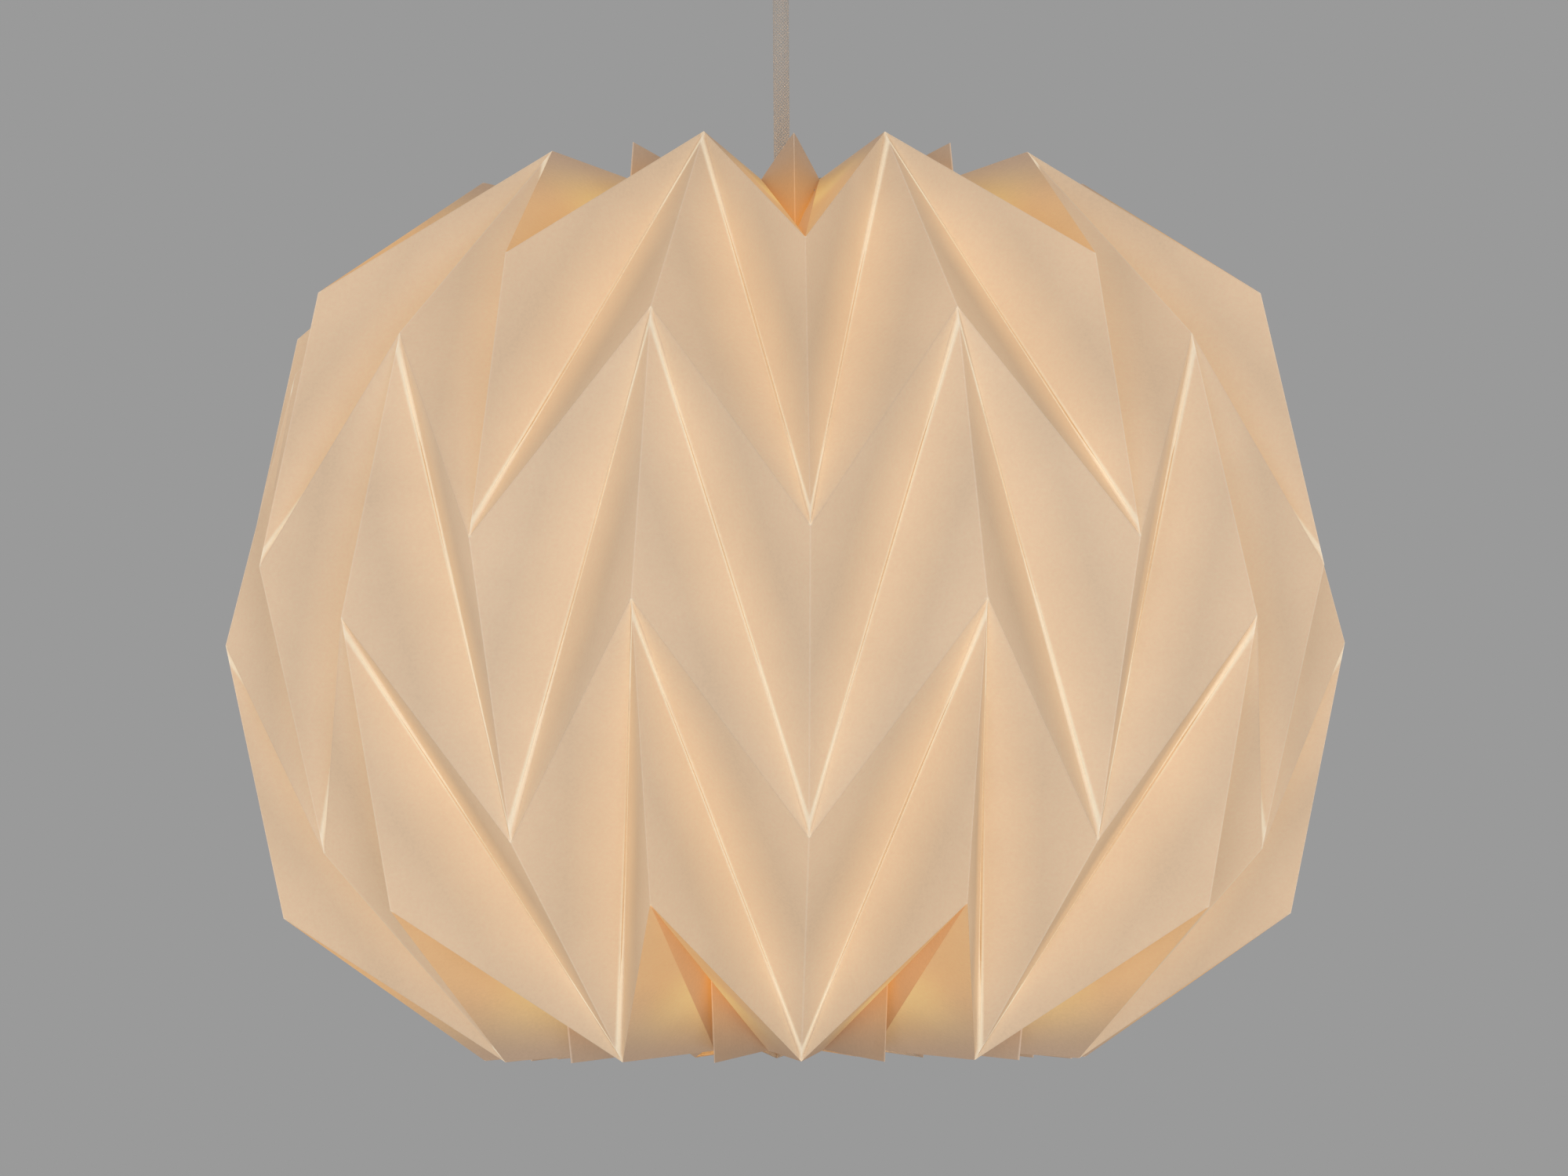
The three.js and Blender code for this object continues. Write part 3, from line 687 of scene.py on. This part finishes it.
@dataclass
class Studio:
    """Camera, lamps, grey surround and pale floor."""

    distance: float = 1.538
    pitch: float = math.radians(5.89)
    roll: float = math.radians(0.371)
    lens: float = 97.84
    aim: tuple[float, float, float] = (-0.0002, 0.0, SHADE_MIDDLE + 0.0119)
    surround: str = "#9a9a9a"
    floor_level: float = -1.3
    floor_size: float = 12.0
    lamps: tuple[tuple[str, tuple[float, float, float], float, float], ...] = (
        ("soft_front", (0.0, -2.4, -0.9), 1.6, 17.5),
        ("soft_left", (-2.2, 0.8, 0.4), 1.4, 6.0),
        ("soft_right", (2.1, 1.2, 0.3), 1.4, 6.0))

    def camera(self) -> bpy.types.Object:
        """Makes the camera, a little below the shade and looking up at it.

        Returns:
            The camera.
        """
        data = bpy.data.cameras.new("camera")
        data.lens = self.lens
        data.sensor_width = 36.0
        data.clip_start = 0.01
        camera = bpy.data.objects.new("camera", data)
        bpy.context.scene.collection.objects.link(camera)
        back = Vector((0, -math.cos(self.pitch), -math.sin(self.pitch)))
        camera.location = Vector(self.aim) + back * self.distance
        lift = Matrix.Rotation(math.pi / 2 + self.pitch, 4, "X")
        camera.rotation_euler = (lift @ Matrix.Rotation(-self.roll, 4, "Z")).to_euler()
        bpy.context.scene.camera = camera
        return camera

    def lamp(self, name: str, place: Sequence[float], size: float,
             power: float) -> bpy.types.Object:
        """Makes one soft white lamp aimed at the shade.

        Args:
            name: The lamp's name.
            place: Where it stands.
            size: Side of its square panel.
            power: Watts.

        Returns:
            The lamp.
        """
        data = bpy.data.lights.new(name, "AREA")
        data.size = size
        data.energy = power
        lamp = bpy.data.objects.new(name, data)
        lamp.location = place
        aim = Vector((0, 0, SHADE_MIDDLE)) - Vector(place)
        lamp.rotation_euler = aim.to_track_quat("-Z", "Y").to_euler()
        bpy.context.scene.collection.objects.link(lamp)
        return lamp

    def build(self) -> None:
        """Sets up everything that isn't the object."""
        self.camera()
        scene = bpy.context.scene
        scene.view_settings.view_transform = "Standard"
        world = bpy.data.worlds.new("grey_surround")
        world.use_nodes = True
        world.node_tree.nodes["Background"].inputs[0].default_value = linear(self.surround)
        scene.world = world
        for name, place, size, power in self.lamps:
            self.lamp(name, place, size, power)
        bm = bmesh.new()
        bmesh.ops.create_grid(bm, x_segments=1, y_segments=1, size=self.floor_size)
        bmesh.ops.translate(bm, verts=bm.verts, vec=(0, 0, self.floor_level))
        floor = finished(bm, "floor", [SolidFinish("pale_floor", "#cfcfcd", 0.8).build()])


# ---- the shade -----------------------------------------------------------------------

@dataclass(frozen=True)
class Ring:
    """A ring of fold corners: radius and height from the shade's middle, in metres."""

    radius: float
    height: float


@dataclass
class FoldedShade:
    """Card folded into columns of slanted panels, with both rims turned inwards."""

    finishes: Finishes
    columns: int = 11
    card: float = 0.0003
    tip: Ring = Ring(0.1093, 0.1570)
    notch: Ring = Ring(0.1792, 0.1067)
    valley: Ring = Ring(0.1761, 0.0860)
    ridge: Ring = Ring(0.2000, 0.0110)
    flap_tip: Ring = Ring(0.1012, 0.1575)
    top_corner: Ring = Ring(0.0711, 0.1473)
    bottom_corner: Ring = Ring(0.0660, 0.1535)
    flap_fold: Ring = Ring(0.1060, 0.1220)
    step: float = 0.66
    meet: float = 0.045
    cuts: int = 7
    bow: float = 0.0009
    wander: float = 0.0004
    half_width: float = 0.0693
    flat_height: float = 0.44

    def point(self, ring: Ring, line: float, side: int) -> Vector:
        """A corner on a fold line.

        Args:
            ring: Its radius and height.
            line: Half columns from the column's first line.
            side: One above the middle, minus one below.

        Returns:
            The corner.
        """
        turn = line * math.pi / self.columns
        return Vector((ring.radius * math.sin(turn), -ring.radius * math.cos(turn),
                       side * ring.height + SHADE_MIDDLE))

    def corners(self) -> dict[str, tuple[Vector, tuple[float, float]]]:
        """Corners of half a column, each with its place on the flat net.

        The bright folds of two neighbours meet a little before each corner.

        Returns:
            Corner name to its place and its net coordinates, across and up.
        """
        s = self.step
        spots = {
            "even_3": (self.point(self.notch, 0, 1), (0, 3)),
            "even_2": (self.point(self.ridge, 0, 1), (0, 2)),
            "even_1": (self.point(self.valley, 0, -1), (0, 1)),
            "even_0": (self.point(self.tip, 0, -1), (0, 0)),
            "odd_3": (self.point(self.tip, 1, 1), (1, 3 + s)),
            "odd_2": (self.point(self.valley, 1, 1), (1, 2 + s)),
            "odd_1": (self.point(self.ridge, 1, -1), (1, 1 + s)),
            "odd_0": (self.point(self.notch, 1, -1), (1, s)),
            "top_corner": (self.point(self.top_corner, 0.5, 1), (0.5, 4.1)),
            "top_fold": (self.point(self.flap_fold, 0, 1), (0, 3.8)),
            "top_tip": (self.point(self.flap_tip, 0, 1), (0, 4.1)),
            "bottom_corner": (self.point(self.bottom_corner, 0.5, -1), (0.5, -0.5)),
            "bottom_fold": (self.point(self.flap_fold, 1, -1), (1, s - 0.8)),
            "bottom_tip": (self.point(self.flap_tip, 1, -1), (1, s - 1.1)),
        }
        for k in range(3):
            low, high = spots[f"even_{k}"][0], spots[f"even_{k + 1}"][0]
            spots[f"meet_even_{k}"] = (low.lerp(high, self.meet), (0, k + self.meet))
            low, high = spots[f"odd_{k}"][0], spots[f"odd_{k + 1}"][0]
            spots[f"meet_odd_{k + 1}"] = (high.lerp(low, self.meet), (1, k + 1 + s - self.meet))
        return spots

    def panels(self) -> list[tuple[str, str, str, int]]:
        """The panels of half a column, outward, each with its finish's number.

        Returns:
            Three corner names and the number, for each panel.
        """
        # Finish 0 is the outside card, 1 the flap, and 2 the flap's copy painted darker as shade.
        panels = [
            ("even_3", "odd_3", "top_corner", 1), ("even_3", "top_corner", "top_fold", 2),
            ("top_fold", "top_corner", "top_tip", 2),
            ("even_0", "bottom_corner", "odd_0", 1), ("odd_0", "bottom_corner", "bottom_fold", 2),
            ("bottom_fold", "bottom_corner", "bottom_tip", 2),
        ]
        for k in range(3):
            even, odd = f"meet_even_{k}", f"meet_odd_{k + 1}"
            panels += [(f"odd_{k + 1}", f"even_{k + 1}", even, 0), (f"odd_{k + 1}", even, odd, 0),
                       (odd, even, f"even_{k}", 0), (odd, f"even_{k}", f"odd_{k}", 0)]
        return panels

    def half_column(self) -> bmesh.types.BMesh:
        """Folds half a column from its corners.

        Returns:
            The half column's bmesh.
        """
        bm = bmesh.new()
        net = bm.loops.layers.uv.new("net")
        corners = self.corners()
        verts = {name: bm.verts.new(place) for name, (place, _) in corners.items()}
        for a, b, c, number in self.panels():
            face = bm.faces.new((verts[a], verts[b], verts[c]))
            face.material_index = number
            for loop, name in zip(face.loops, (a, b, c)):
                loop[net].uv = corners[name][1]
        return bm

    def bowed(self, bm: bmesh.types.BMesh) -> None:
        """Lets each panel bow a little between its folds, as springy card does.

        Args:
            bm: The folded sheet, already cut into small faces.
        """
        net = bm.loops.layers.uv["net"]
        folds = {v for e in bm.edges if not e.smooth or e.is_boundary for v in e.verts}
        bm.normal_update()
        moves = {}
        for vert in bm.verts:
            if vert in folds:
                continue
            u, v = vert.link_loops[0][net].uv
            wave = abs((v - (1 + self.step) * u + 0.5) % 1.0 - 0.5) * 2
            swell = self.bow * (wave - 0.5)
            wander = noise.noise(vert.co * 14.0) * self.wander
            moves[vert] = vert.normal * (swell + wander)
        for vert, move in moves.items():
            vert.co += move

    def sheet(self, name: str, first: int, count: int) -> bpy.types.Object:
        """Makes one glued sheet.

        Args:
            name: The piece's name.
            first: Its first column.
            count: How many columns it has.

        Returns:
            The sheet.
        """
        bm = self.half_column()
        middle = math.pi / self.columns
        copied = bmesh.ops.duplicate(bm, geom=bm.verts[:] + bm.edges[:] + bm.faces[:])["geom"]
        mirror = (Matrix.Rotation(middle, 4, "Z") @ Matrix.Scale(-1, 4, Vector((1, 0, 0)))
                  @ Matrix.Rotation(-middle, 4, "Z"))
        bmesh.ops.transform(bm, matrix=mirror, verts=[g for g in copied
                                                      if isinstance(g, bmesh.types.BMVert)])
        bmesh.ops.reverse_faces(bm, faces=[g for g in copied if isinstance(g, bmesh.types.BMFace)])
        bmesh.ops.remove_doubles(bm, verts=bm.verts, dist=1e-6)
        begin = Matrix.Rotation(FRONT_TURN + first * 2 * middle, 4, "Z")
        bmesh.ops.transform(bm, matrix=begin, verts=bm.verts)
        bmesh.ops.spin(bm, geom=bm.verts[:] + bm.edges[:] + bm.faces[:], cent=(0, 0, 0),
                       axis=(0, 0, 1), angle=2 * middle * (count - 1), steps=count - 1,
                       use_duplicate=True)
        bmesh.ops.remove_doubles(bm, verts=bm.verts, dist=1e-6)
        for edge in bm.edges:
            edge.smooth = len(edge.link_faces) == 2 and edge.calc_face_angle(0) < 0.02
        bmesh.ops.subdivide_edges(bm, edges=bm.edges, cuts=self.cuts, use_grid_fill=True)
        self.bowed(bm)
        inside = [self.finishes.inside] * 3
        piece = finished(bm, name, [self.finishes.card, self.finishes.flap, self.finishes.tooth,
                                    *inside])
        wall = piece.modifiers.new("card_thickness", "SOLIDIFY")
        wall.thickness = self.card
        wall.offset = 0.0
        wall.material_offset = 3
        return piece

    def build(self) -> None:
        """Makes both sheets."""
        for name, node, first, count in (("shade_front", "shade_sheet_front", -3, 6),
                                         ("shade_back", "shade_sheet_back", 3, 5)):
            piece = self.sheet(name, first, count)
            placed(piece, Body.SHADE, "paper", node)


@dataclass
class GatheringThread:
    """Thread through the top flap's inner corners, with its knot."""

    finishes: Finishes
    ring: float = 0.0700
    height: float = 0.1466
    radius: float = 0.00045
    knot: tuple[tuple[tuple[float, float, float], float], ...] = (
        ((0.0, 0.0, 0.0), 0.0015), ((0.0007, 0.0002, 0.0008), 0.0011),
        ((-0.0008, 0.0, 0.0004), 0.0010))

    def knot_place(self) -> Vector:
        """Where the knot sits, at one of the top's inner corners."""
        turn = FRONT_TURN + 0.5 * math.pi / 11
        out = Vector((math.sin(turn), -math.cos(turn), 0))
        return out * (self.ring - 0.0004) + Vector((0, 0, SHADE_MIDDLE + self.height))

    def loop(self) -> bpy.types.Object:
        """Makes the loop of two strands with its knot.

        Returns:
            The loop.
        """
        bm = bmesh.new()
        level = SHADE_MIDDLE + self.height
        for start in (0.0, math.pi):
            profile = bmesh.ops.create_circle(bm, segments=6, radius=self.radius * 0.55)["verts"]
            bmesh.ops.rotate(bm, verts=profile, cent=(0, 0, 0),
                             matrix=Matrix.Rotation(math.pi / 2, 3, "X"))
            lift = Vector((math.cos(start), 0, math.sin(start))) * self.radius * 0.5
            bmesh.ops.translate(bm, verts=profile, vec=Vector((self.ring, 0, level)) + lift)
            edges = list({e for v in profile for e in v.link_edges})
            bmesh.ops.spin(bm, geom=profile + edges, cent=(0, 0, 0), axis=(0, 0, 1),
                           angle=math.tau, steps=176, use_merge=True)
        for shift, size in self.knot:
            ball = bmesh.ops.create_icosphere(bm, subdivisions=2, radius=size)["verts"]
            bmesh.ops.translate(bm, verts=ball, vec=self.knot_place() + Vector(shift))
        bmesh.ops.recalc_face_normals(bm, faces=bm.faces)
        return finished(bm, "thread_loop", [self.finishes.cotton])

    def tail(self) -> bpy.types.Object:
        """Makes the thread's dark end, standing off the knot.

        Returns:
            The end.
        """
        tail = bmesh.new()
        bmesh.ops.create_cone(tail, cap_ends=True, segments=10, radius1=0.0006, radius2=0.0004,
                              depth=0.0042)
        lean = Matrix.Rotation(math.radians(-25), 3, "Y")
        bmesh.ops.rotate(tail, verts=tail.verts, cent=(0, 0, 0), matrix=lean)
        bmesh.ops.translate(tail, verts=tail.verts,
                            vec=self.knot_place() + Vector((-0.0012, 0, 0.0025)))
        return finished(tail, "thread_end", [self.finishes.thread_end])

    def build(self) -> None:
        """Makes the loop and the thread's end."""
        placed(self.loop(), Body.SHADE, "thread", "gathering_thread")
        placed(self.tail(), Body.SHADE, "thread")


# ---- the wire carrier ----------------------------------------------------------------

@dataclass
class WireCarrier:
    """Welded wire ring and spokes on a flat hub."""

    finishes: Finishes
    ring: float = 0.0780
    wire: float = 0.00125
    height: float = 0.1414
    hub_inner: float = 20.0
    hub_outer: float = 27.0

    def rim(self) -> bpy.types.Object:
        """Makes the ring that the shade hangs on.

        Returns:
            The ring.
        """
        bm = bmesh.new()
        profile = bmesh.ops.create_circle(bm, segments=14, radius=self.wire)["verts"]
        bmesh.ops.rotate(bm, verts=profile, cent=(0, 0, 0),
                         matrix=Matrix.Rotation(math.pi / 2, 3, "X"))
        bmesh.ops.translate(bm, verts=profile, vec=(self.ring, 0, SHADE_MIDDLE + self.height))
        bmesh.ops.spin(bm, geom=bm.verts[:] + bm.edges[:], cent=(0, 0, 0), axis=(0, 0, 1),
                       angle=math.tau, steps=132, use_merge=True)
        bmesh.ops.recalc_face_normals(bm, faces=bm.faces)
        return finished(bm, "carrier_ring", [self.finishes.zinc])

    def build(self) -> None:
        """Makes the rim and hub and dresses the spokes."""
        placed(self.rim(), Body.SHADE, "wire", "carrier_rim")
        hub = turned(shade_heights([(self.hub_inner, 116.1), (self.hub_outer, 116.1),
                                    (self.hub_outer, 117.7), (self.hub_inner, 117.7)]), 96)
        placed(finished(softened(hub, 0.0003), "carrier_plate", [self.finishes.zinc], False),
               Body.SHADE, "wire", "carrier_hub")
        dress(self.finishes.zinc, "carrier_spoke_1", "carrier_spoke_2", "carrier_spoke_3")


def dress(material: bpy.types.Material, *nodes: str) -> None:
    """Gives CAD nodes that stay a finished material.

    Args:
        material: The finish.
        nodes: The CAD nodes' names.
    """
    for name in nodes:
        slots = bpy.data.objects[name].material_slots
        for slot in slots:
            slot.material = material
        LOG.info("%s: dressed in %s", name, material.name)


# ---- lamp holder and bulb ------------------------------------------------------------

@dataclass
class LampHolder:
    """Two-part moulded holder with its cord grip, contacts and shade ring."""

    finishes: Finishes
    ribs: int = 36
    thread_pitch: float = 2.5

    def grip(self) -> bpy.types.Object:
        """Makes the tapered cord grip.

        Returns:
            The grip.
        """
        bm = turned(shade_heights([(3.3, 155.0), (5.2, 155.0), (5.7, 154.4), (7.2, 152.0),
                                   (8.0, 147.4), (5.0, 147.3), (5.0, 143.0), (3.3, 143.0)]), 64)
        return finished(bm, "cord_grip", [self.finishes.plastic])

    def cap(self) -> bpy.types.Object:
        """Makes the domed cap.

        Returns:
            The cap.
        """
        bm = turned(shade_heights([(5.3, 147.0), (9.0, 146.9), (12.0, 146.4), (15.0, 145.0),
                                   (17.4, 142.6), (19.2, 139.2), (20.0, 135.0), (20.0, 121.9),
                                   (19.6, 121.3), (18.2, 121.3), (18.2, 135.0), (17.2, 138.0),
                                   (15.2, 141.6), (11.4, 144.4), (5.3, 145.2)]), 96)
        return finished(bm, "holder_dome", [self.finishes.plastic])

    def skirt(self) -> bpy.types.Object:
        """Makes the threaded skirt with its flange.

        Returns:
            The skirt.
        """
        profile = [(16.5, 127.0), (17.9, 127.0), (17.9, 121.0), (24.0, 121.0), (24.0, 118.0),
                   (19.6, 118.0)]
        level = 115.5
        while level > 95.0:
            profile += [(19.6, level), (19.0, level - 0.9), (19.6, level - 1.8)]
            level -= self.thread_pitch
        profile += [(19.6, 93.0), (19.0, 92.0), (16.5, 92.0)]
        bm = turned(shade_heights(profile), 96)
        return finished(bm, "holder_sleeve", [self.finishes.plastic], False)

    def ring(self) -> bpy.types.Object:
        """Makes the ribbed shade ring.

        Returns:
            The ring.
        """
        bm = turned(shade_heights([(20.0, 106.0), (24.4, 106.0), (24.6, 115.8), (20.0, 115.8)]),
                    self.ribs * 4)
        for vert in bm.verts:
            flat = Vector((vert.co.x, vert.co.y, 0))
            if flat.length > 0.022:
                rib = 0.5 + 0.5 * math.cos(math.atan2(flat.y, flat.x) * self.ribs)
                vert.co += flat.normalized() * rib * 0.0004
        return finished(bm, "ring_nut", [self.finishes.plastic], False)

    def build(self) -> None:
        """Makes the holder's visible parts and dresses the inner ones."""
        placed(self.grip(), Body.PENDANT, "white_plastic", "holder_cord_grip")
        placed(self.cap(), Body.PENDANT, "white_plastic", "holder_cap")
        placed(self.skirt(), Body.PENDANT, "white_plastic", "holder_skirt")
        placed(self.ring(), Body.RING, "white_plastic", "shade_ring")
        dress(self.finishes.ceramic, "holder_insert")
        dress(self.finishes.brass, "terminal_screw_left", "terminal_screw_right",
              "centre_contact", "screw_shell")


@dataclass
class Bulb:
    """Opal globe bulb on a screw cap."""

    finishes: Finishes
    globe: tuple[tuple[float, float], ...] = (
        (11.8, 98.0), (11.8, 92.0), (12.4, 88.0), (14.2, 83.5), (17.0, 76.5), (20.2, 69.0),
        (23.4, 62.5), (26.2, 56.0), (28.5, 49.5), (29.7, 43.5), (30.0, 38.0), (29.5, 31.5),
        (27.6, 24.6), (24.0, 18.0), (19.0, 12.9), (13.0, 9.7), (6.5, 8.3), (0.0, 8.0))
    cap_levels: tuple[float, float] = (92.5, 113.2)
    cap_steps: int = 46
    pitch: float = 3.63

    def glass(self) -> bpy.types.Object:
        """Makes the globe, open at its neck.

        Returns:
            The globe.
        """
        inner = [(max(r - 0.9, 0.0), z + 0.9 * max(0.0, (40 - z) / 40) if r else z + 0.9)
                 for r, z in reversed(self.globe)]
        bm = turned(shade_heights([*self.globe, *inner]), 72)
        return finished(bm, "opal_globe", [self.finishes.opal])

    def cap(self) -> bpy.types.Object:
        """Makes the rolled screw cap.

        Returns:
            The cap.
        """
        low, high = self.cap_levels
        outer = []
        for i in range(self.cap_steps + 1):
            level = low + (high - low) * i / self.cap_steps
            outer.append((13.1 + 0.38 * math.cos(math.tau * (level - low) / self.pitch), level))
        inner = [(r - 0.45, z) for r, z in reversed(outer)]
        return finished(turned(shade_heights(outer + inner), 72), "rolled_cap",
                        [self.finishes.nickel])

    def build(self) -> None:
        """Makes the visible parts and dresses the inner ones."""
        placed(self.glass(), Body.BULB, "clear_glass", "bulb_glass")
        placed(self.cap(), Body.BULB, "cap_metal", "bulb_cap")
        dress(self.finishes.black_glass, "bulb_insulator")
        dress(self.finishes.brass, "bulb_contact")
        dress(self.finishes.clear, "bulb_stem")
        dress(self.finishes.filament, "bulb_filament")


# ---- cord and ceiling fitting --------------------------------------------------------

@dataclass
class Cord:
    """Straight stretch of woven cord under tension."""

    finishes: Finishes
    name: str
    node: str
    top: float
    bottom: float
    body: Body
    bend: float = 0.0
    rings: int = 41

    def tube(self) -> bmesh.types.BMesh:
        """Makes the tube, ring by ring, and its sleeve coordinates.

        Returns:
            The closed tube.
        """
        bm = bmesh.new()
        sleeve = bm.loops.layers.uv.new("sleeve")
        length = self.top - self.bottom
        circle = bmesh.ops.create_circle(bm, segments=24, radius=CORD_RADIUS,
                                         cap_ends=True)["verts"]
        bmesh.ops.translate(bm, verts=circle, vec=(0, 0, self.bottom))
        extruded = bmesh.ops.extrude_face_region(bm, geom=bm.faces[:], use_keep_orig=True)["geom"]
        bmesh.ops.translate(bm, verts=[g for g in extruded if isinstance(g, bmesh.types.BMVert)],
                            vec=(0, 0, length))
        bmesh.ops.recalc_face_normals(bm, faces=bm.faces)
        sides = [e for e in bm.edges if abs(e.verts[0].co.z - e.verts[1].co.z) > length / 2]
        bmesh.ops.subdivide_edges(bm, edges=sides, cuts=self.rings, use_grid_fill=True)
        for face in bm.faces:
            middle = face.calc_center_median()
            around = math.atan2(middle.y, middle.x)
            for loop in face.loops:
                turn = math.atan2(loop.vert.co.y, loop.vert.co.x)
                turn = around + (turn - around + math.pi) % math.tau - math.pi
                loop[sleeve].uv = (turn * CORD_RADIUS * 1000, loop.vert.co.z * 1000)
        return bm

    def build(self) -> bpy.types.Object:
        """Returns:
            The cord.
        """
        piece = finished(self.tube(), self.name, [self.finishes.braid])
        if self.bend:
            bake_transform(piece)
            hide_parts(self.node)
            LOG.info("%s: bends under the bush", piece.name)
        else:
            placed(piece, self.body, "braided_cord", self.node)
        return piece


@dataclass
class CeilingFitting:
    """Ceiling cup with its bush, and the hidden plate, clamp and terminals."""

    finishes: Finishes

    def cup(self) -> bpy.types.Object:
        """Makes the spun cup.

        Returns:
            The cup.
        """
        bm = turned(frame_heights([(6.3, -53.0), (21.0, -53.0), (23.6, -52.6), (25.2, -51.6),
                                   (26.1, -50.0), (50.0, -1.4), (50.0, -1.0), (49.0, -1.0),
                                   (25.1, -49.6), (24.2, -51.0), (22.6, -51.8), (21.0, -52.0),
                                   (6.3, -52.0)]), 128)
        return finished(bm, "spun_cup", [self.finishes.enamel])

    def bush(self) -> bpy.types.Object:
        """Makes the bush with its grip screw hole left plain.

        Returns:
            The bush.
        """
        bm = turned(frame_heights([(3.3, -46.5), (6.0, -46.5), (6.0, -53.3), (9.2, -53.3),
                                   (9.5, -53.6), (9.5, -56.0), (9.1, -56.4), (7.8, -58.3),
                                   (6.5, -65.6), (6.1, -66.0), (3.3, -66.0)]), 72)
        return finished(bm, "tapered_bush", [self.finishes.plastic])

    def build(self) -> None:
        """Makes the visible parts and dresses the hidden ones."""
        placed(self.cup(), Body.CEILING, "white_metal", "ceiling_cup")
        placed(self.bush(), Body.CEILING, "white_plastic", "cup_bush")
        dress(self.finishes.steel, "ceiling_plate", "bush_nut", "grub_screw", "clamp_screw")
        dress(self.finishes.plastic, "cord_clamp", "terminal_block")


def main() -> None:
    """Builds the scene in order."""
    Studio().build()
    finishes = Finishes()
    Cord(finishes, "hanging_cord", "pendant_cord", CUP_BUSH_BOTTOM - 0.0003,
         HOLDER_GRIP_TOP + 0.0003, Body.PENDANT, bend=0.01).build()
    Cord(finishes, "cord_in_cup", "cord_tail", -0.008, CUP_BUSH_BOTTOM, Body.CEILING).build()
    FoldedShade(finishes).build()
    GatheringThread(finishes).build()
    WireCarrier(finishes).build()
    LampHolder(finishes).build()
    Bulb(finishes).build()
    CeilingFitting(finishes).build()


if __name__ == "__main__":
    main()
